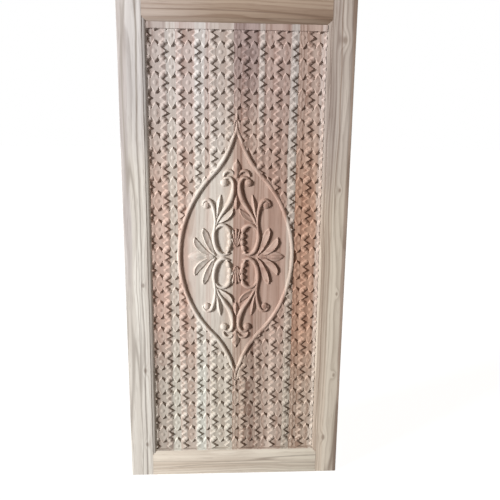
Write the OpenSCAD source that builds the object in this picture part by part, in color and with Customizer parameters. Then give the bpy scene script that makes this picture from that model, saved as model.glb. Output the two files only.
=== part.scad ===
// Carved wooden door leaf: a stile-and-rail frame round one carved panel.
// The panel is glued up from upright boards and floats in a groove of the frame.
// Frame: X across the leaf, carved face towards -Y, Z up, origin at the foot's middle.
// Each piece is drawn lying face up (x across, y up the leaf, z out) and then stood up.

/* [Node] */
// which piece to draw

/* [Leaf] */
// width of the whole leaf
leaf_w = 915; // [600:1:1200]
// height of the whole leaf
leaf_h = 2030; // [1500:1:2600]
// thickness of the frame
leaf_t = 40; // [30:0.5:60]

/* [Frame] */
// width of a stile, moulding included
stile_w = 111.5; // [80:0.5:160]
// height of a rail, moulding included
rail_h = 115; // [80:0.5:260]
// width of the moulding stuck on the inner edges
moulding_w = 18; // [8:0.5:30]
// drop of the moulding's round at the opening
moulding_drop = 1.5; // [0.5:0.25:9]
// step down where the moulding leaves the face
quirk = 1; // [0.4:0.1:3]
// bevel on the inner edges at the back
back_bevel = 3; // [1:0.25:8]

/* [Joints] */
// thickness of the tenons
tenon_t = 13; // [8:0.5:20]
// height of the tenons
tenon_h = 60; // [30:1:100]
// thickness of a wedge at its driven end
wedge_t = 5; // [2:0.25:10]
// length of a wedge as a share of the tenon
wedge_share = 0.8; // [0.4:0.05:0.95]

/* [Panel] */
// depth of the carving's ground below the frame's face
ground_depth = 12; // [8:0.25:18]
// thickness of the boards behind the ground
board_t = 20; // [12:0.5:26]
// thickness of the tongue round the panel
tongue_t = 12; // [6:0.5:18]
// depth of the groove in the frame
groove_depth = 12; // [6:0.5:16]
// room left for the panel to swell at its sides and top
swell_gap = 2; // [0.5:0.25:4]
// play of the tongue behind, in the thickness of the groove
tongue_play = 0.3; // [0.1:0.05:1]
// gap between the raised parts of the panel and the frame
field_gap = 0.8; // [0.3:0.1:3]
// board joints across the opening, as shares of its width
joint_shares = [0.155, 0.347, 0.48, 0.653, 0.845];

/* [Lattice] */
// distance between the columns of flowers
column_pitch = 63.5; // [45:0.5:90]
// distance between the flowers of one column
row_pitch = 115.5; // [80:0.5:160]
// height of the pattern's middle, as a share of the leaf's height
middle_share = 0.493; // [0.4:0.001:0.6]
// length of a flower's upright blade
blade_l = 83; // [50:1:110]
// width of a flower's upright blade
blade_w = 34; // [16:0.5:44]
// length of a flower's cross blade
cross_l = 91; // [50:1:120]
// width of a flower's cross blade
cross_w = 35; // [16:0.5:50]
// height of a flower at its tips
flower_h = 10.25; // [3:0.25:11]
// how far a flower is dished towards its middle
flower_dish = 6; // [0.5:0.25:8]
// width of the button in a flower
button_w = 18; // [8:0.5:26]
// rise of the button in a flower
button_h = 2.25; // [1:0.25:6]
// width of the bridge between two flowers
bridge_w = 24; // [6:0.5:32]
// rise of the bridge between two flowers
bridge_h = 6; // [2:0.25:9]
// length of the bridge, as a share of the way between two flowers
bridge_share = 0.52; // [0.4:0.01:0.7]
// width of the ball on the middle of a bridge
ball_w = 27; // [10:0.5:32]
// rise of the ball on the middle of a bridge
ball_h = 8; // [2:0.25:11]
// width of the plain strip at the panel's top
top_margin = 25; // [5:1:80]
// width of the plain strip at the panel's foot
foot_margin = 6; // [5:1:80]
// rise of the plain strips
margin_h = 10; // [1:0.25:11]

/* [Medallion] */
// half width of the medallion to the middle of its bead
medallion_w = 235; // [120:1:320]
// half height of the medallion to the middle of its bead
medallion_h = 574; // [300:1:800]
// width of the bead round the medallion
bead_w = 20; // [8:0.5:22]
// step where the shoulders of the bead lap over its sides
bead_step = 0.3; // [0.1:0.05:1]
// half gap between the two beads at the tips
tip_gap = 4; // [1:0.25:10]
// round sides of the medallion, as a share of its two radii together
side_share = 0.587; // [0.4:0.005:0.75]
// length over which the bead narrows towards each tip
taper_l = 90; // [30:1:150]
// length of the needle that ends each tip
needle_l = 50; // [10:1:80]
// height of the leaves and scrolls
leaf_rise = 11; // [3:0.25:11.5]
// half width of a scroll where it is broadest
scroll_w = 11; // [3:0.25:14]
// how far the ornament spreads towards the bead, as a share
spread_share = 0.94; // [0.7:0.01:1]
// width of the berry that ends a scroll
berry_w = 32; // [12:0.5:44]
// rise of the berry that ends a scroll
berry_h = 11; // [3:0.25:11.5]

/* [Hidden] */
$fn = 64;
// overrun of every cut
over = 5;
// how deep the raised carving is rooted in the board
root = 2;
// steps along a scroll and along a leaf between two points of its line
scroll_steps = 2;

face_z = leaf_t / 2;
ground_z = face_z - ground_depth;
back_z = ground_z - board_t;
tongue_z = ground_z - tongue_t;
open_w = leaf_w - 2 * stile_w;
open_x = open_w / 2;
open_lo = rail_h;
open_hi = leaf_h - rail_h;
open_h = open_hi - open_lo;
shoulder_x = open_x + moulding_w;
body_w = stile_w - moulding_w;
body_h = rail_h - moulding_w;
tenon_lo = (body_h - tenon_h) / 2;
wedge_l = body_w * wedge_share;
round_r = (moulding_w * moulding_w + moulding_drop * moulding_drop) / (2 * moulding_drop);
middle_y = leaf_h * middle_share;
joints = [for (s = concat([0], joint_shares, [1])) (s - 1 / 2) * open_w];

// circle radius of a lens with this length and width
function lens_r(l, w) = (l * l + w * w) / (4 * w);
// sphere radius of a cap with this width and rise
function cap_r(w, h) = (w * w / 4 + h * h) / (2 * h);

module stand() rotate([90, 0, 0]) children();

// section of a frame member: outer edge at 0, opening edge at w, face up
module member_section(w) {
    difference() {
        translate([0, -face_z]) square([w, leaf_t]);
        difference() {
            translate([w - moulding_w, face_z - quirk - moulding_drop])
                square([moulding_w + over, quirk + moulding_drop + over]);
            translate([w - moulding_w, face_z - quirk - round_r]) circle(r = round_r, $fn = 180);
        }
        polygon([
            [w - back_bevel, -face_z - over],
            [w - back_bevel, -face_z],
            [w, -face_z + back_bevel],
            [w + over, -face_z + back_bevel],
            [w + over, -face_z - over]
        ]);
    }
}

// room for the panel's tongue, cut from all four members
module panel_pocket() {
    translate([-open_x - groove_depth, open_lo - groove_depth + swell_gap, tongue_z - tongue_play])
        cube([
            open_w + 2 * groove_depth,
            open_h + 2 * groove_depth - swell_gap,
            tongue_t + tongue_play
        ]);
}

// one through tenon, or its flared mortise, along +x; the shoulder lies at 0
module tenon(start, end, flare) {
    wider = flare * (end - body_w + wedge_l) / wedge_l;
    translate([0, 0, -tenon_t / 2]) linear_extrude(tenon_t)
        polygon([
            [start, 0],
            [body_w - wedge_l, 0],
            [end, -wider],
            [end, tenon_h + wider],
            [body_w - wedge_l, tenon_h],
            [start, tenon_h]
        ]);
}
module mortise() tenon(-over, body_w + over, wedge_t);

// the right-hand stile; the other is its mirror image
module stile() {
    difference() {
        intersection() {
            translate([0, 0, -face_z - over]) linear_extrude(leaf_t + 2 * over)
                polygon([
                    [leaf_w / 2, 0],
                    [shoulder_x, 0],
                    [shoulder_x, body_h],
                    [open_x, open_lo],
                    [open_x, open_hi],
                    [shoulder_x, leaf_h - body_h],
                    [shoulder_x, leaf_h],
                    [leaf_w / 2, leaf_h]
                ]);
            translate([leaf_w / 2, -over, 0]) rotate([-90, 0, 0]) mirror([1, 0, 0]) mirror([0, 1, 0])
                linear_extrude(leaf_h + 2 * over) member_section(stile_w);
        }
        panel_pocket();
        translate([shoulder_x, tenon_lo, 0]) mortise();
        translate([shoulder_x, leaf_h - tenon_lo - tenon_h, 0]) mortise();
    }
}

// the foot rail; the top rail is its mirror image
module rail() {
    difference() {
        intersection() {
            translate([0, 0, -face_z - over]) linear_extrude(leaf_t + 2 * over)
                polygon([
                    [-shoulder_x, 0],
                    [shoulder_x, 0],
                    [shoulder_x, body_h],
                    [open_x, open_lo],
                    [-open_x, open_lo],
                    [-shoulder_x, body_h]
                ]);
            translate([-leaf_w / 2, 0, 0]) rotate([90, 0, 90])
                linear_extrude(leaf_w) member_section(rail_h);
        }
        panel_pocket();
    }
    for (s = [0, 1]) mirror([s, 0, 0]) translate([shoulder_x, tenon_lo, 0])
        tenon(-root, body_w, 0);
}

// two wedges of one tenon
module wedge_pair() {
    translate([0, 0, -tenon_t / 2]) linear_extrude(tenon_t) {
        polygon([[body_w - wedge_l, 0], [body_w, -wedge_t], [body_w, 0]]);
        polygon([[body_w - wedge_l, tenon_h], [body_w, tenon_h], [body_w, tenon_h + wedge_t]]);
    }
}

// pointed blade of two arcs, along y
module lens(l, w) {
    r = lens_r(l, w);
    intersection() {
        translate([r - w / 2, 0]) circle(r = r);
        translate([w / 2 - r, 0]) circle(r = r);
    }
}

// one four-pointed flower, dished, with its button
module flower() {
    dish_r = cap_r(cross_l, flower_dish);
    knob_r = cap_r(button_w, button_h);
    low = flower_h - flower_dish;
    difference() {
        translate([0, 0, -root]) linear_extrude(flower_h + root + over) {
            lens(blade_l, blade_w);
            rotate(90) lens(cross_l, cross_w);
        }
        translate([0, 0, low + dish_r]) rotate([90, 0, 0]) sphere(r = dish_r, $fn = 200);
    }
    intersection() {
        translate([0, 0, low + button_h - knob_r]) sphere(r = knob_r);
        translate([0, 0, -root / 2]) cylinder(r = button_w, h = flower_h + root);
    }
}

// round bridge between two flowers, rising or falling, with a ball on its middle
half_row = row_pitch / 2;
bridge_l = norm([column_pitch, half_row]) * bridge_share;
module bridge(way) {
    bridge_r = cap_r(bridge_w, bridge_h);
    ball_r = cap_r(ball_w, ball_h);
    rotate(way * atan(half_row / column_pitch)) intersection() {
        translate([0, 0, bridge_h - bridge_r]) rotate([0, 90, 0])
            cylinder(r = bridge_r, h = bridge_l, center = true, $fn = 160);
        translate([-bridge_l, -bridge_w, -root])
            cube([2 * bridge_l, 2 * bridge_w, bridge_h + 2 * root]);
    }
    intersection() {
        translate([0, 0, ball_h - ball_r]) sphere(r = ball_r);
        translate([0, 0, -root]) cylinder(r = ball_w, h = ball_h + 2 * root);
    }
}

// outline of the medallion: round sides, then hollow shoulders, tangent where they meet
turn = 2 * atan((medallion_w - tip_gap) / medallion_h);
radii = medallion_h / sin(turn);
side_r = radii * side_share;
hollow_r = radii - side_r;
side_x = medallion_w - side_r;
hollow_x = side_x + radii * cos(turn);
change_y = side_r * sin(turn);

// half width of the medallion at height v from its middle
function half_at(v) = abs(v) < change_y ? side_x + sqrt(side_r * side_r - v * v)
    : abs(v) < medallion_h ? hollow_x - sqrt(hollow_r * hollow_r - pow(medallion_h - abs(v), 2)) : 0;

// what of a raised piece falls on the board that is being drawn
module kept(lo, hi, low, high) {
    if (hi > $lo && lo < $hi)
        if (lo >= $lo && hi <= $hi && low >= field_lo && high <= field_hi) children();
        else intersection() {
            children();
            translate([$lo, field_lo, -bead_w]) cube([$hi - $lo, field_hi - field_lo, leaf_t]);
        }
}
field_lo = open_lo + foot_margin - root;
field_hi = open_hi - top_margin + root;

// both sides of the medallion, or all four quarters
module both_ways(lo, hi, ways) {
    for (sx = ways[0]) for (sy = ways[1])
        kept(sx == 0 ? lo : -hi, sx == 0 ? hi : -lo, middle_y, middle_y)
            translate([0, middle_y, 0]) mirror([sx, 0, 0]) mirror([0, sy, 0]) children();
}
quarters = [[0, 1], [0, 1]];
on_axis = [[0], [0, 1]];
at_sides = [[0, 1], [0]];

// round side of the bead, a little slimmer than the shoulders that lap over its ends
side_w = bead_w - 2 * bead_step;
lap = bead_w / (3 * hollow_r) * 180 / PI;
module bead_side() {
    translate([side_x, 0, 0]) rotate(-turn) rotate_extrude(angle = 2 * turn, $fn = 240)
        translate([side_r, 0]) circle(d = side_w, $fn = 32);
}

// hollow shoulder of the bead, cut off on the medallion's axis and narrowed towards the tip
module bead_shoulder() {
    far = medallion_w + bead_w;
    broad = half_at(medallion_h - taper_l) + bead_w / 2;
    intersection() {
        translate([hollow_x, medallion_h, 0]) rotate(180) rotate_extrude(angle = turn + lap, $fn = 240)
            translate([hollow_r, 0]) circle(d = bead_w, $fn = 32);
        translate([0, 0, -bead_w]) linear_extrude(2 * bead_w) polygon([
            [0, 0],
            [far, 0],
            [far, medallion_h - taper_l],
            [broad, medallion_h - taper_l],
            [tip_gap, medallion_h + over],
            [0, medallion_h + over]
        ]);
    }
}

// thin end of the tip
module needle() {
    translate([0, 0, -root]) linear_extrude(root + bead_w / 4)
        polygon([
            [-tip_gap, medallion_h - needle_l / 3],
            [tip_gap, medallion_h - needle_l / 3],
            [0, medallion_h + needle_l]
        ]);
}

// plan inside the bead, where no flowers are
module medallion_plan() {
    steps = 12;
    quarter = [for (i = [0 : steps]) [half_at(medallion_h * i / steps), medallion_h * i / steps]];
    upper = concat(quarter, [for (i = [steps : -1 : 0]) [-quarter[i].x, quarter[i].y]]);
    for (sy = [0, 1]) mirror([0, sy]) polygon(upper);
}

spread_w = medallion_w * spread_share;

// smooth line through points of [across, up, half width]
function between(a, b, c, d, t) =
    (2 * b + (c - a) * t + (2 * a - 5 * b + 4 * c - d) * t * t
        + (3 * b - a - 3 * c + d) * t * t * t) / 2;
function smooth(p) = concat(
    [for (i = [0 : len(p) - 2]) for (k = [0 : scroll_steps - 1])
        between(p[max(i - 1, 0)], p[i], p[i + 1], p[min(i + 2, len(p) - 1)], k / scroll_steps)],
    [p[len(p) - 1]]);
function placed(shares) = [for (s = shares) [s.x * spread_w, s.y * medallion_h, s.z * scroll_w]];
function left_of(p, i) =
    let (d = p[min(i + 1, len(p) - 1)] - p[max(i - 1, 0)])
    [-d.y, d.x] / norm([d.x, d.y]);

// ridged blade or stem along a line, rooted in the board
edge_share = 0.3;
shoulder_w_share = 0.62;
shoulder_h_share = 0.84;
module blade(p) {
    n = len(p);
    broad = max([for (q = p) q.z]);
    points = [for (i = [0 : n - 1])
        let (q = p[i], s = left_of(p, i) * q.z, t = s * shoulder_w_share)
        let (h = leaf_rise * (1 + q.z / broad) / 2)
        each [
            [q.x + s.x, q.y + s.y, -root],
            [q.x + s.x, q.y + s.y, h * edge_share],
            [q.x + t.x, q.y + t.y, h * shoulder_h_share],
            [q.x, q.y, h],
            [q.x - t.x, q.y - t.y, h * shoulder_h_share],
            [q.x - s.x, q.y - s.y, h * edge_share],
            [q.x - s.x, q.y - s.y, -root]
        ]];
    m = len(points) / n;
    faces = concat(
        [[for (j = [0 : m - 1]) j]],
        [[for (j = [m - 1 : -1 : 0]) (n - 1) * m + j]],
        [for (i = [0 : n - 2]) for (j = [0 : m - 1]) each [
            [i * m + j, (i + 1) * m + j, (i + 1) * m + (j + 1) % m],
            [i * m + j, (i + 1) * m + (j + 1) % m, i * m + (j + 1) % m]
        ]]);
    polyhedron(points, faces);
}
module swept(shares, ways) {
    p = smooth(placed(shares));
    both_ways(min([for (q = p) q.x - q.z]), max([for (q = p) q.x + q.z]), ways) blade(p);
}
module berry(at_share, w, h) {
    x = at_share.x * spread_w;
    r = cap_r(w, h);
    both_ways(x - w / 2, x + w / 2, quarters)
        translate([x, at_share.y * medallion_h, 0]) intersection() {
            translate([0, 0, h - r]) sphere(r = r);
            translate([0, 0, -root]) cylinder(r = w, h = h + 2 * root);
        }
}

// lines of the ornament: across and up as shares of the medallion, width of the scroll's
s_scroll_shares = [
    [0.368, 0.223, 0.41], [0.246, 0.305, 0.73], [0.132, 0.387, 0.95],
    [0.066, 0.462, 0.95], [0.057, 0.526, 0.73], [0.114, 0.566, 0.64],
    [0.193, 0.566, 0.5], [0.237, 0.545, 0.36]
];
crescent_shares = [
    [0.022, 0.58, 0.23], [0.07, 0.608, 0.55], [0.149, 0.618, 0.64], [0.215, 0.603, 0.55],
    [0.237, 0.58, 0.32]
];
stem_shares = [
    [0.132, 0.024, 0.36], [0.254, 0.016, 0.64], [0.351, 0.052, 0.86], [0.395, 0.125, 1],
    [0.399, 0.2, 0.82], [0.399, 0.27, 0.77], [0.404, 0.34, 0.86], [0.443, 0.389, 0.77],
    [0.513, 0.408, 0.64], [0.583, 0.397, 0.5], [0.618, 0.371, 0.36]
];
curl_shares = [
    [0.377, 0.188, 0.27], [0.333, 0.217, 0.55], [0.254, 0.232, 0.68],
    [0.175, 0.219, 0.77], [0.127, 0.181, 0.73], [0.114, 0.129, 0.64],
    [0.118, 0.078, 0.64], [0.145, 0.035, 0.36]
];
inner_leaf_shares = [
    [0.342, 0.237, 0.18], [0.263, 0.267, 0.77], [0.175, 0.293, 1.05],
    [0.105, 0.319, 0.73], [0.053, 0.345, 0.11]
];
lance_shares = [
    [0.368, 0.261, 0.18], [0.329, 0.322, 0.59], [0.307, 0.375, 0.77],
    [0.289, 0.415, 0.55], [0.276, 0.443, 0.11]
];
near_petal_shares = [
    [0.404, 0.014, 0.23], [0.474, 0.066, 0.77], [0.539, 0.125, 1.09],
    [0.583, 0.171, 0.82], [0.61, 0.206, 0.11]
];
far_petal_shares = [
    [0.43, 0.009, 0.23], [0.553, 0.03, 0.77], [0.667, 0.064, 1.14], [0.741, 0.103, 0.86],
    [0.794, 0.134, 0.11]
];
top_bud_shares = [
    [0, 0.587, 0.45], [0, 0.613, 1.36], [0, 0.638, 1.64], [0, 0.666, 0.91],
    [0, 0.688, 0.13]
];
axis_bud_shares = [
    [0, 0.348, 0.23], [0, 0.387, 0.91], [0, 0.418, 0.73], [0, 0.448, 0.11]
];
fan_shares = [
    [0, 0.105, 0.2], [0, 0.148, 0.45], [0, 0.181, 0.5], [0, 0.209, 0.11]
];
fan_side_shares = [
    [0.013, 0.108, 0.18], [0.035, 0.146, 0.36], [0.053, 0.178, 0.11]
];
fan_low_shares = [
    [0.018, 0.101, 0.18], [0.053, 0.125, 0.35], [0.079, 0.146, 0.11]
];
side_bud_shares = [
    [0.43, 0, 0.36], [0.57, 0, 0.77], [0.702, 0, 1.82], [0.803, 0, 1.36],
    [0.899, 0, 0.13]
];
berry_share = [0.228, 0.528];
outer_berry_share = [0.553, 0.371];
ruffle_shares = [[0.095, 0.192], [0.088, 0.142], [0.084, 0.087], [0.1, 0.042]];
outer_share = 0.88;
ruffle_share = 0.56;

module ornament() {
    swept(s_scroll_shares, quarters);
    swept(crescent_shares, quarters);
    swept(stem_shares, quarters);
    swept(curl_shares, quarters);
    swept(inner_leaf_shares, quarters);
    swept(lance_shares, quarters);
    swept(near_petal_shares, quarters);
    swept(far_petal_shares, quarters);
    swept(fan_side_shares, quarters);
    swept(fan_low_shares, quarters);
    swept(top_bud_shares, on_axis);
    swept(axis_bud_shares, on_axis);
    swept(fan_shares, on_axis);
    swept(side_bud_shares, at_sides);
    berry(berry_share, berry_w, berry_h);
    berry(outer_berry_share, berry_w * outer_share, berry_h * outer_share);
    for (at = ruffle_shares) berry(at, berry_w * ruffle_share, berry_h * ruffle_share);
    both_ways(half_at(change_y) - bead_w, medallion_w + bead_w / 2, at_sides) bead_side();
    both_ways(0, half_at(change_y) + bead_w, quarters) bead_shoulder();
    both_ways(-tip_gap, tip_gap, on_axis) needle();
}

// flowers in columns set half a step against each other, and the bridges between them
columns = ceil(open_x / column_pitch);
rows = ceil(open_h / row_pitch);
least_share = 0.2;
module lattice() {
    reach = bridge_l / 2 + bridge_w / 2;
    for (i = [-columns : columns]) for (j = [-rows : rows]) {
        x = i * column_pitch;
        v = j * row_pitch + (i % 2 == 0 ? half_row : 0);
        y = middle_y + v;
        meets = abs(x) - cross_l / 2 < half_at(max(abs(v) - blade_l / 2, 0));
        if (y + blade_l * least_share > field_lo && y - blade_l * least_share < field_hi
            && abs(x) + cross_l * least_share > half_at(v))
            kept(x - cross_l / 2, x + cross_l / 2, y - blade_l / 2, y + blade_l / 2)
                if (meets) difference() {
                    translate([x, y, 0]) flower();
                    translate([0, middle_y, -bead_w]) linear_extrude(leaf_t) medallion_plan();
                }
                else translate([x, y, 0]) flower();
        for (s = [-1, 1]) {
            px = x + column_pitch / 2;
            pv = v + s * half_row / 2;
            py = middle_y + pv;
            near = abs(pv) < medallion_h + reach && abs(px) - reach < half_at(max(abs(pv) - reach, 0));
            if (py > field_lo && py < field_hi && abs(px) > half_at(pv) + bead_w / 2)
                kept(px - reach, px + reach, py - reach, py + reach)
                    if (near) difference() {
                        translate([px, py, 0]) bridge(s);
                        translate([0, middle_y, -bead_w]) linear_extrude(leaf_t) medallion_plan();
                    }
                    else translate([px, py, 0]) bridge(s);
        }
    }
}

// one board of the panel, numbered from the left as seen from the front
module board(k) {
    first = k == 0;
    last = k == len(joints) - 2;
    lo = joints[k];
    hi = joints[k + 1];
    tongue = groove_depth - swell_gap;
    $lo = first ? -open_x + field_gap : lo;
    $hi = last ? open_x - field_gap : hi;
    x0 = first ? lo - tongue : lo;
    x1 = last ? hi + tongue : hi;
    field_h = open_h - 2 * field_gap;
    union() {
        // tongue and ground
        translate([x0, open_lo - tongue, tongue_z])
            cube([x1 - x0, open_h + 2 * tongue, tongue_t]);
        // raised field at the back
        translate([$lo, open_lo + field_gap, back_z])
            cube([$hi - $lo, field_h, board_t - tongue_t + root]);
        // plain strips at both ends
        translate([$lo, open_lo + field_gap, ground_z - root])
            cube([$hi - $lo, foot_margin - field_gap, margin_h + root]);
        translate([$lo, open_hi - top_margin, ground_z - root])
            cube([$hi - $lo, top_margin - field_gap, margin_h + root]);
        translate([0, 0, ground_z]) {
            lattice();
            ornament();
        }
    }
}

module stile_left() color("BurlyWood") stand() mirror([1, 0, 0]) stile();
module stile_right() color("BurlyWood") stand() stile();
module rail_bottom() color("Tan") stand() rail();
module rail_top() color("Tan") stand() translate([0, leaf_h, 0]) mirror([0, 1, 0]) rail();
module panel_board_1() color("RosyBrown") stand() board(0);
module panel_board_2() color("Wheat") stand() board(1);
module panel_board_3() color("AntiqueWhite") stand() board(2);
module panel_board_4() color("Sienna") stand() board(3);
module panel_board_5() color("RosyBrown") stand() board(4);
module panel_board_6() color("Peru") stand() board(5);
module tenon_wedges() color("SaddleBrown") stand()
    for (sx = [0, 1]) mirror([sx, 0, 0]) for (y = [tenon_lo, leaf_h - tenon_lo - tenon_h])
        translate([shoulder_x, y, 0]) wedge_pair();

stile_left();
stile_right();
rail_top();
rail_bottom();
panel_board_1();
panel_board_2();
panel_board_3();
panel_board_4();
panel_board_5();
panel_board_6();
tenon_wedges();
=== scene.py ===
import math

import bmesh
import bpy
from mathutils import Matrix, Vector


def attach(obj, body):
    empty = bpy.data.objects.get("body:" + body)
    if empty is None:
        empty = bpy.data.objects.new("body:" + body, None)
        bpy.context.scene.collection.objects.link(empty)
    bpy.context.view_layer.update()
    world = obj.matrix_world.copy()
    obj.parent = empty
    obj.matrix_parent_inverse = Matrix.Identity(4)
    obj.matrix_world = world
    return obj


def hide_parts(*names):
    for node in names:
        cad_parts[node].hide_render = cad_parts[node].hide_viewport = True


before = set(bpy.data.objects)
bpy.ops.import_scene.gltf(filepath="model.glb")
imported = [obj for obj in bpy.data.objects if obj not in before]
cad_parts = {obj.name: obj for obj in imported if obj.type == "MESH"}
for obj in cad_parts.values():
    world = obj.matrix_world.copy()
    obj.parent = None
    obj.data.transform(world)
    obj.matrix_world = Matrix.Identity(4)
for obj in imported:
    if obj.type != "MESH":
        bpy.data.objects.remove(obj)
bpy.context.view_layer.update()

# Two upright stiles carry the leaf. They are sawn from pale, weathered teak, the
# left one silvery, the right one greyer and browner, with a few small knots. Sharp
# edges are taken off with a plane, and a moulding falls towards the panel.

per_metre = 1000
# the opening inside the frame, in millimetres
opening_left, opening_right, opening_foot, opening_top = -346.0, 346.0, 115.0, 1915.0


class Wire:
    """One socket of a node tree. A sum of wires adds its Math nodes."""

    def __init__(self, tree, socket=None):
        self.tree = tree
        self.socket = socket

    def node(self, kind, settings, sockets, out=0):
        made = self.tree.nodes.new(kind)
        for name, value in settings.items():
            setattr(made, name, value)
        for name, value in sockets.items():
            if isinstance(value, Wire):
                self.tree.links.new(value.socket, made.inputs[name])
            else:
                made.inputs[name].default_value = value
        return Wire(self.tree, made.outputs[out])

    def math(self, how, *values):
        return self.node("ShaderNodeMath", {"operation": how}, dict(enumerate(values)))

    def __add__(self, other):
        return self.math("ADD", self, other)

    def __radd__(self, other):
        return self.math("ADD", other, self)

    def __sub__(self, other):
        return self.math("SUBTRACT", self, other)

    def __rsub__(self, other):
        return self.math("SUBTRACT", other, self)

    def __mul__(self, other):
        return self.math("MULTIPLY", self, other)

    def __rmul__(self, other):
        return self.math("MULTIPLY", other, self)

    def __truediv__(self, other):
        return self.math("DIVIDE", self, other)

    def __rtruediv__(self, other):
        return self.math("DIVIDE", other, self)

    def __abs__(self):
        return self.math("ABSOLUTE", self)

    def root(self):
        return self.math("SQRT", self)

    def least(self, other):
        return self.math("MINIMUM", self, other)

    def most(self, other):
        return self.math("MAXIMUM", self, other)

    def step(self, start, end):
        """A smooth step from 0 at start to 1 at end."""
        return self.node(
            "ShaderNodeMapRange",
            {"interpolation_type": "SMOOTHSTEP"},
            {"Value": self, "From Min": start, "From Max": end},
        )

    def axis(self, name):
        return self.node("ShaderNodeSeparateXYZ", {}, {0: self}, name)

    def mix(self, first, second):
        """The first colour where this wire is 0, the second where it is 1."""
        return self.node(
            "ShaderNodeMix", {"data_type": "RGBA"}, {0: self, 6: first, 7: second}, 2
        )


def tint(red, green, blue):
    """A colour as a screen shows it, 0 to 255, turned into light."""

    def light(part):
        part /= 255
        return part / 12.92 if part <= 0.04045 else ((part + 0.055) / 1.055) ** 2.4

    return (light(red), light(green), light(blue), 1.0)


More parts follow.
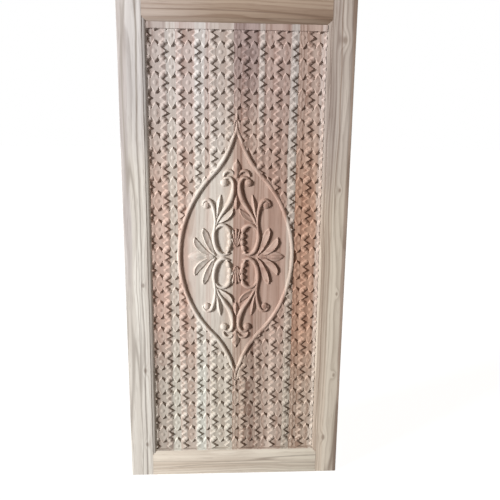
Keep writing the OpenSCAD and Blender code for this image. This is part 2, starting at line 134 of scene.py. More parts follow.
def teak(name, along, pale, deep, spacing, heart, seed, bands=(), knots=(), carved=False):
    """Sawn teak: years round the heart of the tree, fibres, pores, bands and knots."""
    made = bpy.data.materials.new(name)
    made.use_nodes = True
    skin = made.node_tree.nodes["Principled BSDF"]
    start = Wire(made.node_tree)
    place = start.node("ShaderNodeTexCoord", {}, {}, "Object")
    across, depth, length = (place.axis(a) for a in ("XYZ" if along == "Z" else "ZYX"))

    def grain(fine, coarse, detail, shift=0.0):
        at = start.node(
            "ShaderNodeCombineXYZ",
            {},
            {0: across * fine + seed, 1: depth * fine + shift, 2: length * coarse - seed},
        )
        return start.node(
            "ShaderNodeTexNoise", {}, {"Vector": at, "Scale": 1.0, "Detail": detail}, "Fac"
        )

    bend, drift = 0.045, 0.03
    bent = across + (grain(5.0, 1.6, 2.0) - 0.5) * bend
    off_heart, off_depth = bent - heart[0], depth - heart[1]
    radius = (off_heart * off_heart + off_depth * off_depth).root()
    radius = radius + (grain(2.0, 1.1, 2.0, 4.0) - 0.5) * drift
    # a knot pushes the years aside round its eye
    knot_stretch, knot_push, knot_reach = 1.7, 0.9, -0.18
    eyes = None
    for knot_across, knot_along, knot_size in knots:
        sideways = (across - knot_across) / knot_size
        upwards = (length - knot_along) / (knot_size * knot_stretch)
        away = (sideways * sideways + upwards * upwards).root()
        pushed = start.math("EXPONENT", away * away * knot_reach) * (knot_size * knot_push)
        radius = radius + pushed
        eyes = away if eyes is None else eyes.least(away)
    turns = radius / spacing
    part = turns.math("FRACT", turns)
    late_start, late_end = 0.35, 0.9
    late = part.step(late_start, late_end) * (1 - part.step(late_end, 1.0))
    years = start.node(
        "ShaderNodeTexNoise",
        {"noise_dimensions": "1D"},
        {"W": turns * 0.31 + seed, "Scale": 1.0, "Detail": 3.0},
        "Fac",
    )
    broad = grain(22.0, 0.9, 3.0, 8.0)
    fibre = grain(650.0, 8.0, 3.0)
    pores = grain(480.0, 14.0, 1.0, 3.0).step(0.6, 0.74)
    figure = 1.0 if carved else 1.6
    late_share, year_share, broad_share, fibre_share = 0.4, 0.9 * figure, 1.1 * figure, 0.55
    base_tone = 0.3
    tone = late * late_share + (years - 0.5) * year_share + (broad - 0.5) * broad_share
    tone = tone + (fibre - 0.5) * fibre_share + base_tone
    tone = tone.most(0.0).least(1.0)
    colour = tone.mix(tint(*pale), tint(*deep))
    wander, wander_along, band_fade = 0.03, 7, 0.2
    wobble = (grain(7.0, 2.2, 3.0, 11.0) - 0.5) * wander
    for low, high, near, distant, soft, band_pale, band_deep in bands:
        aside, onward = across + wobble, length + wobble * wander_along
        inside = aside.step(low - soft, low + soft) * (1 - aside.step(high - soft, high + soft))
        inside = inside * onward.step(near - band_fade, near + band_fade)
        inside = inside * (1 - onward.step(distant - band_fade, distant + band_fade))
        colour = inside.mix(colour, tone.mix(tint(*band_pale), tint(*band_deep)))
    pore_brown, pore_strength = tint(96, 70, 52), 0.28
    colour = (pores * pore_strength).mix(colour, pore_brown)
    if not carved:
        vein_grey, vein_width, vein_strength, vein_shade = tint(96, 82, 74), 0.022, 0.75, 0.3
        vein = 1 - abs(grain(16.0, 0.55, 1.5, 6.0) - 0.5).step(0.0, vein_width)
        broken = grain(9.0, 2.0, 1.0, 15.0).step(0.35, 0.65)
        colour = (vein * broken * vein_strength).mix(colour, tint(*deep))
        colour = (vein * vein_shade).mix(colour, vein_grey)
    if eyes is not None:
        knot_brown, ring_count = tint(104, 82, 66), 3.2
        ring = (eyes * ring_count).math("FRACT", eyes * ring_count)
        eye = (1 - eyes.step(0.35, 1.5)) * (0.5 + ring * 0.12)
        colour = eye.mix(colour, knot_brown)
    if carved:
        # dust has greyed the head and the foot of the panel
        head_wash, foot_wash = (0.97, 1.0, 1.07, 1.0), (0.99, 1.07, 1.07, 1.0)
        head, foot = length.step(1.25, 1.75), 1 - length.step(0.35, 0.85)
        for worn, wash in ((head, head_wash), (foot, foot_wash)):
            colour = start.node(
                "ShaderNodeMix",
                {"data_type": "RGBA", "blend_type": "MULTIPLY"},
                {0: worn, 6: colour, 7: wash},
                2,
            )
        # painted shade: the hollows of the carving are tinted brown where shade falls in them
        painted_shade = start.node("ShaderNodeAttribute", {"attribute_name": "painted_shade"}, {}, "Fac")
        painted_shade_brown, painted_shade_strength = tint(104, 74, 60), 0.14
        colour = (painted_shade.step(0.1, 1.0) * painted_shade_strength).mix(colour, painted_shade_brown)
    start.tree.links.new(colour.socket, skin.inputs["Base Color"])
    sawn_roughness, fibre_roughness = 0.66, 0.3
    rough = sawn_roughness + (fibre - 0.5) * fibre_roughness
    start.tree.links.new(rough.socket, skin.inputs["Roughness"])
    relief = fibre * 0.7 - late * 0.35 - pores * 0.6
    bump = start.node(
        "ShaderNodeBump", {}, {"Strength": 0.35, "Distance": 0.0006, "Height": relief}
    )
    start.tree.links.new(bump.socket, skin.inputs["Normal"])
    skin.inputs["Specular IOR Level"].default_value = 0.3
    return made


def settle(made, name, finish, slot, *nodes):
    """The evaluated object as a plain mesh that stands for its nodes on the leaf."""
    held = made.evaluated_get(bpy.context.evaluated_depsgraph_get())
    mesh = bpy.data.meshes.new_from_object(held)
    made.modifiers.clear()
    made.data = mesh
    mesh.name = name
    mesh.materials.clear()
    mesh.materials.append(finish)
    for face in mesh.polygons:
        face.material_index = 0
        face.use_smooth = True
    mesh.set_sharp_from_angle(angle=math.radians(50))
    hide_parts(*nodes)
    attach(made, "root")
    return made


arris_width, arris_angle = 0.0011, 38
moulding_width, moulding_dip, moulding_front = 0.018, 0.0045, -0.012


def eased(node, name, finish):
    """A member of the frame, its sharp edges planed off and its moulding dipped."""
    shape = bmesh.new()
    shape.from_mesh(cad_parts[node].data)
    bmesh.ops.remove_doubles(shape, verts=shape.verts, dist=0.00002)
    bmesh.ops.dissolve_limit(
        shape, angle_limit=math.radians(0.6), verts=shape.verts, edges=shape.edges
    )
    mesh = bpy.data.meshes.new(name)
    shape.to_mesh(mesh)
    shape.free()
    made = bpy.data.objects.new(name, mesh)
    bpy.context.scene.collection.objects.link(made)
    arris = made.modifiers.new("arris", "BEVEL")
    arris.width = arris_width
    arris.segments = 2
    arris.limit_method = "ANGLE"
    arris.angle_limit = math.radians(arris_angle)
    made = settle(made, name, finish, node, node)
    least, most = (
        [edge(corner[axis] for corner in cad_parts[node].bound_box) for axis in range(3)]
        for edge in (min, max)
    )
    for corner in made.data.vertices:
        corner.co = [min(max(c, a), b) for c, a, b in zip(corner.co, least, most)]
        past = max(
            abs(corner.co.x) - opening_right / per_metre,
            opening_foot / per_metre - corner.co.z,
            corner.co.z - opening_top / per_metre,
        )
        if past < moulding_width and corner.co.y < moulding_front:
            corner.co.y += moulding_dip * (1 - max(past, 0) / moulding_width) ** 4
    return made


silver_teak = teak(
    "silver_teak",
    "Z",
    (242, 240, 233),
    (201, 194, 185),
    0.0065,
    (-0.43, 0.11),
    1.7,
    bands=[
        (-1.0, 0.0, 1.5, 3.0, 0.01, (235, 233, 232), (190, 185, 183)),
        (-1.0, -0.428, 0.9, 3.0, 0.004, (225, 220, 218), (182, 174, 171)),
        (-0.392, -0.386, -1.0, 3.0, 0.003, (186, 179, 172), (148, 139, 132)),
        (-0.41, -0.407, -1.0, 1.1, 0.002, (190, 182, 174), (150, 140, 132)),
    ],
    knots=[(-0.386, 0.88, 0.006), (-0.386, 0.5, 0.007), (-0.388, 0.15, 0.006)],
)
eased("stile_left", "left_stile", silver_teak)

grey_teak = teak(
    "grey_teak",
    "Z",
    (193, 181, 166),
    (145, 129, 115),
    0.0055,
    (0.45, 0.1),
    5.2,
    bands=[
        (0.0, 1.0, 1.3, 3.0, 0.01, (178, 168, 160), (130, 116, 108)),
        (0.41, 0.441, 1.3, 3.0, 0.004, (192, 183, 174), (146, 134, 126)),
        (0.392, 0.45, -1.0, 1.3, 0.004, (200, 191, 177), (158, 146, 132)),
        (0.444, 1.0, -1.0, 3.0, 0.003, (168, 152, 139), (128, 111, 99)),
        (0.401, 0.405, 1.2, 3.0, 0.002, (142, 126, 114), (110, 95, 85)),
    ],
    knots=[
        (0.415, 1.86, 0.009),
        (0.42, 1.28, 0.005),
        (0.427, 0.84, 0.005),
        (0.43, 0.47, 0.006),
        (0.395, 0.17, 0.008),
    ],
)
eased("stile_right", "right_stile", grey_teak)

# Two rails join the stiles at head and foot, with their grain lying level. The
# head rail is browner and darkens to the right, and the foot rail is pale beige.
# Their mouldings meet those of the stiles at a mitre.

brown_teak = teak(
    "brown_teak",
    "X",
    (173, 155, 138),
    (134, 112, 95),
    0.006,
    (1.93, 0.09),
    9.4,
    bands=[(1.0, 3.0, -2.0, -0.2, 0.01, (190, 177, 168), (154, 136, 124))],
)
eased("rail_top", "head_rail", brown_teak)

beige_teak = teak(
    "beige_teak",
    "X",
    (223, 215, 202),
    (186, 173, 158),
    0.0062,
    (0.08, 0.1),
    12.8,
    bands=[(-1.0, 1.0, 0.15, 2.0, 0.01, (233, 227, 212), (196, 184, 169))],
)
eased("rail_bottom", "foot_rail", beige_teak)

# Small teak wedges are driven into the outer ends of the mortises and cut off
# flush. They keep the shape of the solids and show as darker slips on the edges.

wedge_teak = teak("wedge_teak", "X", (168, 136, 108), (122, 90, 66), 0.004, (1.0, 0.2), 15.1)
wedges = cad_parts["tenon_wedges"]
wedges.data.materials.clear()
wedges.data.materials.append(wedge_teak)

# The panel is glued up from six upright boards of mixed heartwood and sapwood and
# then carved in one: a lattice of dished flowers and pillows, and inside a beaded
# medallion four scrolls with leaves, petals and berries round a cross of buds.

carving_sizes = {
    "Middle": 1000.79,
    "Column pitch": 63.5,
    "Row pitch": 115.5,
    "Blade length": 86.0,
    "Blade width": 37.0,
    "Cross length": 94.0,
    "Cross width": 38.0,
    "Flower height": 10.25,
    "Flower dish": 6.0,
    "Button width": 20.0,
    "Button height": 2.25,
    "Bridge width": 26.0,
    "Bridge height": 7.0,
    "Bridge hold": 15.0,
    "Bridge end": 25.0,
    "Ball width": 27.0,
    "Ball height": 8.5,
    "Strip foot": 121.0,
    "Strip top": 1890.0,
    "Strip height": 10.0,
    "Medallion width": 235.0,
    "Medallion height": 574.0,
    "Tip gap": 4.0,
    "Tip length": 56.0,
    "Side share": 0.587,
    "Bead width": 18.0,
    "Bead thinning": 110.0,
    "Bead joining": 100.0,
    "Bead joined": 40.0,
    "Bead fade": 10.0,
    "Bead end": 18.0,
    "Lattice end": 8.0,
    "Leaf rise": 11.0,
    "Petal slope": 2.4,
    "Wall": 3.0,
    "Bowl": 3.0,
    "Bowl across": 58.0,
    "Bowl up": 70.0,
    "Bowl half width": 27.0,
    "Bowl half height": 52.0,
    "Ground": 8.0,
    "Edge level": -2.5,
}
field_gap, tongue_depth = 0.8, 10.0
# how far each part of a board lies behind the leaf's middle, near and far side
tongue_near, tongue_far, back_near, back_far = -7.0, 4.0, 3.0, 12.0
ornament_spread = 0.969
# each line runs through points of across, up and half width, in millimetres
ornament_lines = {
    "scroll": [
        [
            (86, 132, 3.5), (72, 162, 6), (48, 199, 8.5), (27, 232, 10.5), (15, 268, 10.5),
            (13, 302, 8), (26, 325, 7), (44, 325, 5.5), (54, 313, 4),
        ],
        [(5, 333, 2.5), (16, 349, 6), (34, 355, 7), (49, 346, 6), (54, 333, 3.5)],
        [
            (30, 14, 4), (58, 9, 7), (81, 28, 8.5), (93, 62, 8.5), (95, 92, 7.5), (91, 122, 6),
            (89, 150, 5.4), (92, 180, 6.4), (98, 207, 8), (108, 228, 8.5), (121, 236, 7.5),
            (135, 230, 6), (142, 214, 4),
        ],
        [
            (92, 104, 3), (80, 124, 6), (60, 133, 7.5), (42, 127, 8.5), (30, 112, 9.5),
            (27, 99, 3.2), (27, 87, 11), (24, 74, 3.2), (26, 61, 11), (26, 48, 3.2),
            (32, 36, 10), (33, 25, 3.5), (38, 17, 6.5),
        ],
        [(0, 42, 2.5), (0, 76, 4.5), (0, 102, 6.5), (0, 116, 3)],
        [(4, 50, 2), (8, 76, 4), (12, 100, 5.2), (15, 112, 2.5)],
        [(4, 44, 2), (11, 58, 4), (16, 72, 5), (19, 82, 2.5)],
    ],
    "leaf": [
        [(13, 200, 1.2), (25, 184, 8), (42, 168, 11.5), (62, 153, 8.5), (80, 138, 2)],
        [(92, 6, 3), (106, 32, 8), (121, 66, 12), (132, 96, 11), (140, 117, 3)],
        [(98, 4, 3), (124, 14, 8), (149, 33, 12), (167, 55, 11), (177, 78, 3)],
    ],
    "bud": [
        [(0, 332, 7), (0, 350, 15), (0, 366, 17), (0, 384, 9), (0, 401, 1.4)],
        [(0, 200, 2.5), (0, 222, 10), (0, 240, 8), (0, 257, 1.2)],
        [(86, 150, 2), (79, 185, 7), (74, 215, 9.5), (70, 238, 7), (67, 256, 1.2)],
        [(98, 0, 4), (130, 0, 8.5), (160, 0, 20), (183, 0, 15), (205, 0, 1.4)],
    ],
    "berry": [
        [(51, 307, 16), (51.2, 307, 16)],
        [(126, 216, 15), (126.2, 216, 15)],
    ],
}


def drawn_lines():
    """The ornament's lines as loose edges with their half width and kind."""
    points, edges, widths, kinds = [], [], [], []
    for kind, lines in enumerate(("scroll", "leaf", "bud", "berry")):
        for line in ornament_lines[lines]:
            edges += [(len(points) + i, len(points) + i + 1) for i in range(len(line) - 1)]
            points += [(across * ornament_spread, up, 0.0) for across, up, half in line]
            widths += [half for across, up, half in line]
            kinds += [float(kind)] * len(line)
    mesh = bpy.data.meshes.new("ornament_lines")
    mesh.from_pydata(points, edges, [])
    mesh.attributes.new("half_width", "FLOAT", "POINT").data.foreach_set("value", widths)
    mesh.attributes.new("kind", "FLOAT", "POINT").data.foreach_set("value", kinds)
    return mesh


def carving_tree():
    """A board's front as a fine grid raised by the carving, with tongue and back."""
    tree = bpy.data.node_groups.new("carved_board", "GeometryNodeTree")
    face = tree.interface
    face.new_socket("Lines", in_out="INPUT", socket_type="NodeSocketGeometry")
    face.new_socket("Board", in_out="OUTPUT", socket_type="NodeSocketGeometry")
    for name in ("Left", "Right", "Foot", "Top", "Tongue left", "Tongue right", "Cell"):
        face.new_socket(name, in_out="INPUT", socket_type="NodeSocketFloat")
    for name in carving_sizes:
        face.new_socket(name, in_out="INPUT", socket_type="NodeSocketFloat")
    face.new_socket("Finish", in_out="INPUT", socket_type="NodeSocketMaterial")
    start = Wire(tree)
    given = tree.nodes.new("NodeGroupInput")
    size = {socket.name: Wire(tree, socket) for socket in given.outputs if socket.name}

    def point(x, y, z):
        return start.node("ShaderNodeCombineXYZ", {}, {0: x, 1: y, 2: z})

    # the ornament's lines as close points, lifted so that broad lines win over thin ones
    point_gap, broadest = 0.8, 30.0
    curves = start.node("GeometryNodeMeshToCurve", {}, {"Mesh": size["Lines"]})
    curves = start.node(
        "GeometryNodeCurveSplineType", {"spline_type": "CATMULL_ROM"}, {"Curve": curves}
    )
    curves = start.node(
        "GeometryNodeResampleCurve", {"mode": "LENGTH"}, {"Curve": curves, "Length": point_gap}
    )
    run_on = start.node("GeometryNodeInputTangent", {}, {})
    curves = start.node(
        "GeometryNodeStoreNamedAttribute",
        {"data_type": "FLOAT_VECTOR", "domain": "POINT"},
        {"Geometry": curves, "Name": "run_on", "Value": run_on},
    )
    beads = start.node("GeometryNodeCurveToMesh", {}, {"Curve": curves})

    def kept_value(name, data_type):
        return start.node(
            "GeometryNodeInputNamedAttribute", {"data_type": data_type}, {"Name": name}
        )

    half, kind = kept_value("half_width", "FLOAT"), kept_value("kind", "FLOAT")
    course = kept_value("run_on", "FLOAT_VECTOR")
    lift = (broadest * broadest - half * half).root()
    beads = start.node(
        "GeometryNodeSetPosition", {}, {"Geometry": beads, "Offset": point(0.0, 0.0, lift)}
    )

    # the grid reaches one cell past the board, and what is past it forms the edges
    broad, tall, cell = size["Right"] - size["Left"], size["Top"] - size["Foot"], size["Cell"]
    many_x, many_y = (broad / cell).math("CEIL", broad / cell), (tall / cell).math("CEIL", tall / cell)
    grid = start.node(
        "GeometryNodeMeshGrid",
        {},
        {
            "Size X": broad + 2 * broad / many_x,
            "Size Y": tall + 2 * tall / many_y,
            "Vertices X": many_x + 3,
            "Vertices Y": many_y + 3,
        },
    )
    flat = start.node("GeometryNodeInputPosition", {}, {})
    wide_x = flat.axis("X") + (size["Left"] + size["Right"]) / 2
    wide_y = flat.axis("Y") + (size["Foot"] + size["Top"]) / 2
    x = wide_x.most(size["Left"]).least(size["Right"])
    y = wide_y.most(size["Foot"]).least(size["Top"])
    beyond = abs(wide_x - x) + abs(wide_y - y)
    past = beyond.math("GREATER_THAN", beyond, 0.01)
    v = y - size["Middle"]
    side, up = abs(x), abs(v)

    def hypot(a, b):
        return (a * a + b * b).root()

    def folded(t, pitch):
        return t - pitch * (t / pitch).math("ROUND", t / pitch)

    def lens(across, along, length, width):
        bow = (length * length + width * width) / (width * 4)
        return hypot(abs(across) + bow - width / 2, along) - bow

    def cap(far, width, height):
        return height * (1 - 4 * far * far / (width * width))

    def flower(fx, fy):
        edge = lens(fx, fy, size["Blade length"], size["Blade width"])
        edge = edge.least(lens(fy, fx, size["Cross length"], size["Cross width"]))
        dish, cross = size["Flower dish"], size["Cross length"]
        far = hypot(fx, fy)
        low = size["Flower height"] - dish
        petal = low + dish * 4 * far * far / (cross * cross)
        petal = petal.least((0.5 - edge) * size["Petal slope"])
        return petal.most(low + cap(far, size["Button width"], size["Button height"]))

    # the lattice mirrors at every column and row: two flowers and the bridge between them
    pitch, row = size["Column pitch"], size["Row pitch"]
    cell_x, cell_y = abs(folded(x, pitch * 2)), abs(folded(v, row))
    lattice = flower(cell_x, cell_y - row / 2).most(flower(cell_x - pitch, cell_y))
    run = hypot(pitch, row / 2)
    mid_x, mid_y = cell_x - pitch / 2, cell_y - row / 4
    beside = (mid_x * row / 2 + mid_y * pitch) / run
    onward = (mid_y * row / 2 - mid_x * pitch) / run
    bridge = cap(beside, size["Bridge width"], size["Bridge height"])
    bridge = bridge.least((size["Bridge width"] / 2 - abs(beside)) * size["Petal slope"])
    bridge = bridge * (1 - abs(onward).step(size["Bridge hold"], size["Bridge end"]))
    ball = cap(hypot(mid_x, mid_y), size["Ball width"], size["Ball height"])
    lattice = lattice.most(bridge).most(ball)

    # distance from the medallion's outline: round sides, then hollow shoulders
    half_w, half_h = size["Medallion width"], size["Medallion height"]
    slope = (half_w - size["Tip gap"]) / half_h
    sine, cosine = 2 * slope / (1 + slope * slope), (1 - slope * slope) / (1 + slope * slope)
    radii = half_h / sine
    side_r = radii * size["Side share"]
    hollow_r = radii - side_r
    side_x = half_w - side_r
    hollow_x = side_x + radii * cosine
    round_part = hypot(side - side_x, up) - side_r
    hollow_part = hollow_r - hypot(side - hollow_x, up - half_h)
    past_tip = side - size["Tip gap"] * (1 - (up - half_h) / size["Tip length"])
    is_hollow = (up * cosine - (side - side_x) * sine).step(-0.01, 0.01)
    is_tip = up.step(half_h - 0.01, half_h + 0.01)
    off = round_part + (hollow_part - round_part) * is_hollow
    off = off + (past_tip - off) * is_tip
    # the bead thins towards the tip, where its two sides run into one and end
    fade_start, fade_end = half_h - size["Bead fade"], half_h + size["Bead end"]
    thin = up.step(half_h - size["Bead thinning"], half_h + size["Bead fade"])
    bead_r = size["Bead width"] / 2 * (1 - 0.55 * thin)
    joined = up.step(half_h - size["Bead joining"], half_h - size["Bead joined"])
    bead_off = off + (side - off) * joined
    bead = (bead_r * bead_r - bead_off * bead_off).most(0.0).root()
    bead = bead * (1 - up.step(fade_start, fade_end))
    outside = off.step(-1.0, 1.0).most(up.step(fade_start, half_h + size["Lattice end"]))

    # the nearest line of the ornament gives its profile
    folded_place = point(side, up, 0.0)
    index = start.node(
        "GeometryNodeSampleNearest", {}, {"Geometry": beads, "Sample Position": folded_place}
    )

    def from_line(field, data_type):
        return start.node(
            "GeometryNodeSampleIndex",
            {"data_type": data_type},
            {"Geometry": beads, "Value": field, "Index": index},
        )

    there = from_line(start.node("GeometryNodeInputPosition", {}, {}), "FLOAT_VECTOR")
    w = from_line(half, "FLOAT")
    k = from_line(kind, "FLOAT")
    onto = from_line(course, "FLOAT_VECTOR")
    aside_x, aside_y = side - there.axis("X"), up - there.axis("Y")
    gap = hypot(aside_x, aside_y)
    t = gap / w
    # a leaf stands high on the right of its line and falls to the left
    right = (onto.axis("Y") * aside_x - onto.axis("X") * aside_y) / w
    ridge = (1 - 0.9 * t * t).most(0.0).root()
    hollowed = 0.5 + 0.3 * right + 0.14 * t * t
    roof = 1 - 0.75 * t
    berry = (1 - t * t).most(0.0).root()
    is_leaf = k.math("COMPARE", k, 1.0, 0.1)
    is_bud = k.math("COMPARE", k, 2.0, 0.1)
    is_berry = k.math("COMPARE", k, 3.0, 0.1)
    form = ridge + (hollowed - ridge) * is_leaf * w.step(3.0, 7.0)
    form = form + (roof - form) * is_bud
    form = form + (berry - form) * is_berry
    height = size["Leaf rise"] * (0.55 + 0.45 * w.step(1.0, 10.0))
    leaf = height * form * (gap - w).step(size["Wall"] * 0.5, size["Wall"] * -0.35)
    leaf = leaf.most(0.0) * (1 - outside)
    bowl_x = (side - size["Bowl across"]) / size["Bowl half width"]
    bowl_y = (up - size["Bowl up"]) / size["Bowl half height"]
    bowl = (1 - bowl_x * bowl_x - bowl_y * bowl_y).most(0.0) * size["Bowl"]

    slope_out, slope_in = 1, 0.6
    strips = y.step(size["Strip foot"] + slope_out, size["Strip foot"] - slope_in)
    strips = strips.most(y.step(size["Strip top"] - slope_out, size["Strip top"] + slope_in))
    strips = strips * size["Strip height"]
    rise = (lattice.most(0.0) * outside).most(bead).most(leaf).most(strips)
    # the gouge leaves the surface a little uneven
    gouge_scale, gouge_depth = 0.11, 0.35
    uneven = start.node(
        "ShaderNodeTexNoise",
        {},
        {"Vector": point(x, y, 3.0), "Scale": gouge_scale, "Detail": 2.0},
        "Fac",
    )
    rise = rise + (uneven - 0.5) * gouge_depth - bowl * (1 - leaf.step(0.0, 1.0))
    # painted shade: the colour darkens in the pockets between the flowers and on the ground along the
    # foot of the ornament and the bead, where shade falls
    pocket_depth, leaf_shade_reach, bead_shade_reach = 7, 5.0, 6.0
    pocket = outside * (1 - (rise / pocket_depth).least(1.0))
    foot = 1 - (gap - w).step(0.0, leaf_shade_reach)
    foot = foot.most(1 - (abs(off) - bead_r).step(0.0, bead_shade_reach))
    foot = foot * (1 - rise.step(0.5, 4.0)) * (1 - outside)
    kept = start.node(
        "GeometryNodeStoreNamedAttribute",
        {"data_type": "FLOAT", "domain": "POINT"},
        {"Geometry": grid, "Name": "painted_shade", "Value": pocket.most(foot)},
    )
    rise = rise + (size["Edge level"] - rise) * past
    carved_place = point(x / per_metre, (rise + size["Ground"]) / -per_metre, y / per_metre)
    front = start.node(
        "GeometryNodeSetPosition",
        {},
        {"Geometry": kept, "Position": carved_place},
    )

    def plank(left, right, foot, top, near, far):
        extent = point(
            (right - left) / per_metre, (far - near) / per_metre, (top - foot) / per_metre
        )
        middle = point(
            (left + right) / (2 * per_metre),
            (near + far) / (2 * per_metre),
            (foot + top) / (2 * per_metre),
        )
        block = start.node("GeometryNodeMeshCube", {}, {"Size": extent})
        return start.node(
            "GeometryNodeTransform", {}, {"Geometry": block, "Translation": middle}
        )

    reach = tongue_depth + field_gap
    tongue = plank(
        size["Tongue left"],
        size["Tongue right"],
        size["Foot"] - reach,
        size["Top"] + reach,
        tongue_near,
        tongue_far,
    )
    back = plank(size["Left"], size["Right"], size["Foot"], size["Top"], back_near, back_far)
    whole = tree.nodes.new("GeometryNodeJoinGeometry")
    for piece in (back, tongue, front):
        tree.links.new(piece.socket, whole.inputs[0])
    plain = Wire(tree, whole.outputs[0])
    plain = start.node("GeometryNodeRealizeInstances", {}, {"Geometry": plain})
    plain = start.node(
        "GeometryNodeSetMaterial", {}, {"Geometry": plain, "Material": size["Finish"]}
    )
    tree.links.new(plain.socket, tree.nodes.new("NodeGroupOutput").inputs[0])
    return tree


carving = carving_tree()
carving_cell = 1.66


def carved_board(number, left, right, finish):
    """One board of the panel, carved, in place of its solid."""
    name = f"carved_board_{number}"
    made = bpy.data.objects.new(name, drawn_lines())
    bpy.context.scene.collection.objects.link(made)
    carver = made.modifiers.new("carving", "NODES")
    carver.node_group = carving
    first, last = left == opening_left, right == opening_right
    sizes = {
        "Left": left + field_gap if first else left,
        "Right": right - field_gap if last else right,
        "Foot": opening_foot + field_gap,
        "Top": opening_top - field_gap,
        "Tongue left": left - tongue_depth if first else left,
        "Tongue right": right + tongue_depth if last else right,
        "Cell": carving_cell,
        "Finish": finish,
        **carving_sizes,
    }
    for socket in carving.interface.items_tree:
        if socket.in_out == "INPUT" and socket.name in sizes:
            carver[socket.identifier] = sizes[socket.name]
    node = f"panel_board_{number}"
    return settle(made, name, finish, node, node)


# heartwood and sapwood of the boards, paler and deeper
rosy, sap = ((204, 192, 182), (150, 127, 116)), ((222, 215, 206), (195, 182, 170))
blush, cream = ((212, 190, 178), (178, 147, 133)), ((210, 199, 188), (180, 163, 150))
shell, ash = ((214, 202, 193), (181, 155, 142)), ((201, 190, 180), (170, 154, 143))
russet, umber = ((204, 184, 170), (140, 111, 97)), ((190, 169, 156), (122, 94, 82))
pink, dull = ((196, 175, 163), (152, 124, 111)), ((202, 188, 176), (140, 122, 109))
tawny, amber = ((200, 178, 163), (126, 95, 79)), ((192, 158, 137), (122, 85, 67))
rust, chalk = ((190, 165, 152), (143, 111, 97)), ((222, 216, 208), (196, 186, 176))
pearl, bone = ((221, 212, 204), (193, 175, 163)), ((204, 196, 187), (166, 154, 144))
dusky, straw = ((178, 158, 150), (126, 103, 95)), ((209, 195, 184), (178, 153, 139))

joint_shares = (-0.345, -0.153, -0.02, 0.153, 0.345)
opening_width = opening_right - opening_left
board_edges = [opening_left, *(share * opening_width for share in joint_shares), opening_right]
# each board: name, wood, width of a year, heart of the tree, seed and bands of other wood
boards = [
    (
        "rosy_board", rosy, 0.0058, (-0.31, 0.09), 21.3,
        [(-0.5, -0.27, 0.6, 1.4, 0.006, *blush), (-0.274, -0.2, -1, 3, 0.006, *sap)],
    ),
    (
        "pink_board", shell, 0.0064, (-0.19, 0.11), 24.9,
        [
            (-0.3, -0.19, 0.6, 1.4, 0.006, *blush),
            (-0.2, -0.05, 0.72, 1.28, 0.012, *pearl),
            (-0.168, -0.126, -1, 3, 0.005, *chalk),
        ],
    ),
    (
        "cream_board", cream, 0.0055, (-0.05, 0.1), 28.4,
        [(-0.2, -0.05, 0.6, 1.5, 0.012, *chalk)],
    ),
    (
        "russet_board", russet, 0.006, (0.05, 0.08), 31.6,
        [
            (0.05, 0.2, -1, 1.3, 0.012, *umber),
            (-0.1, 0.2, 0.7, 1.35, 0.01, *rust),
            (-0.1, 0.086, 1.66, 3, 0.006, *dusky),
            (0.086, 0.16, 1.45, 3, 0.004, *ash),
        ],
    ),
    (
        "blush_board", pink, 0.0066, (0.16, 0.12), 35.5,
        [
            (0.0, 0.206, 0.7, 1.4, 0.005, *rust),
            (0.206, 0.28, -1, 1.1, 0.005, *dull),
            (0.206, 0.28, 1.1, 3, 0.005, *bone),
        ],
    ),
    (
        "tawny_board", tawny, 0.0052, (0.3, 0.09), 39.2,
        [(0.2, 0.33, 0.5, 1.4, 0.008, *amber), (0.33, 0.5, -1, 3, 0.006, *straw)],
    ),
]
for number, (name, wood, year, heart, seed, bands) in enumerate(boards, 1):
    board_finish = teak(name, "Z", *wood, year, heart, seed, bands=bands, carved=True)
    carved_board(number, board_edges[number - 1], board_edges[number], board_finish)

# The leaf stands on a plain floor that looks white. A low window on the left, in front,
# draws out the relief, a softer one behind lights the back, and a dim warm sky fills
# the shadows.

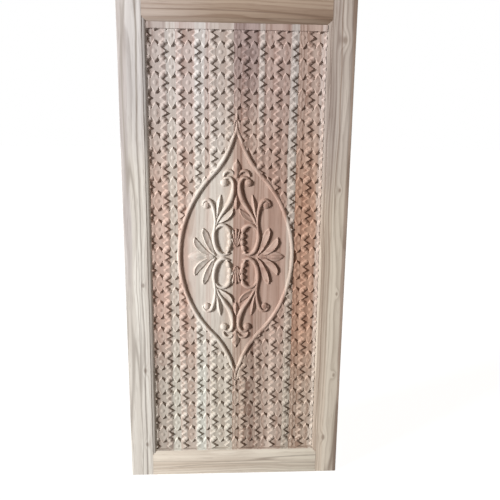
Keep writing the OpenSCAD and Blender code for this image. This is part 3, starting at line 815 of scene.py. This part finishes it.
floor_half = 30
floor_mesh = bpy.data.meshes.new("studio_floor")
floor_corners = [(x * floor_half, y * floor_half, 0) for x, y in ((-1, -1), (1, -1), (1, 1), (-1, 1))]
floor_mesh.from_pydata(floor_corners, [], [(0, 1, 2, 3)])
studio_floor = bpy.data.objects.new("studio_floor", floor_mesh)
bpy.context.scene.collection.objects.link(studio_floor)
black, white = (0.0, 0.0, 0.0, 1.0), (1.0, 1.0, 1.0, 1.0)
floor_grey, floor_glow = (0.4, 0.4, 0.4, 1.0), (0.87, 0.87, 0.87, 1.0)
paper = bpy.data.materials.new("white_paper")
paper.use_nodes = True
paper_skin = paper.node_tree.nodes["Principled BSDF"]
paper_skin.inputs["Base Color"].default_value = floor_grey
paper_skin.inputs["Roughness"].default_value = 0.9
paper_skin.inputs["Specular IOR Level"].default_value = 0.0
paper_skin.inputs["Emission Strength"].default_value = 1.0
seen = Wire(paper.node_tree).node("ShaderNodeLightPath", {}, {}, "Is Camera Ray")
paper.node_tree.links.new(seen.mix(black, floor_glow).socket, paper_skin.inputs["Emission Color"])
floor_mesh.materials.append(paper)

sky_warmth = (0.172, 0.125, 0.092, 1.0)
sky = bpy.data.worlds.new("studio")
bpy.context.scene.world = sky
sky.use_nodes = True
sky_shine = sky.node_tree.nodes["Background"]
seen = Wire(sky.node_tree).node("ShaderNodeLightPath", {}, {}, "Is Camera Ray")
sky.node_tree.links.new(seen.mix(sky_warmth, white).socket, sky_shine.inputs["Color"])


def window_light(name, spread, strength, towards):
    """Daylight from one direction, softer the wider its spread in degrees."""
    lamp = bpy.data.lights.new(name, "SUN")
    lamp.angle = math.radians(spread)
    lamp.energy = strength
    holder = bpy.data.objects.new(name, lamp)
    bpy.context.scene.collection.objects.link(holder)
    holder.rotation_euler = Vector(towards).to_track_quat("Z", "Y").to_euler()


window_light("window", 12, 5.2, (-0.85, -0.51, 0.13))
window_light("far_window", 40, 1.4, (0.35, 0.85, 0.4))

# The camera stands a little left of the middle, higher than the leaf's own middle,
# and looks slightly down on it, as in the photograph.

lens_camera = bpy.data.cameras.new("camera")
sensor_width, focal_pixels, picture_pixels = 36.0, 580.7, 500
lens_camera.sensor_width = sensor_width
lens_camera.lens = focal_pixels * sensor_width / picture_pixels
camera = bpy.data.objects.new("camera", lens_camera)
bpy.context.scene.collection.objects.link(camera)
yaw, pitch, roll = (math.radians(a) for a in (-3.23, -12.639, -0.692))
aim = Matrix.Rotation(yaw, 3, "Z") @ Matrix.Rotation(pitch, 3, "X") @ Matrix.Rotation(roll, 3, "Y")
level = Matrix(((1, 0, 0), (0, 0, -1), (0, 1, 0)))
camera_place = (-0.0752, -2.3581, 1.5564)
camera.matrix_world = Matrix.Translation(camera_place) @ (aim @ level).to_4x4()
bpy.context.scene.camera = camera
bpy.context.scene.view_settings.view_transform = "Standard"
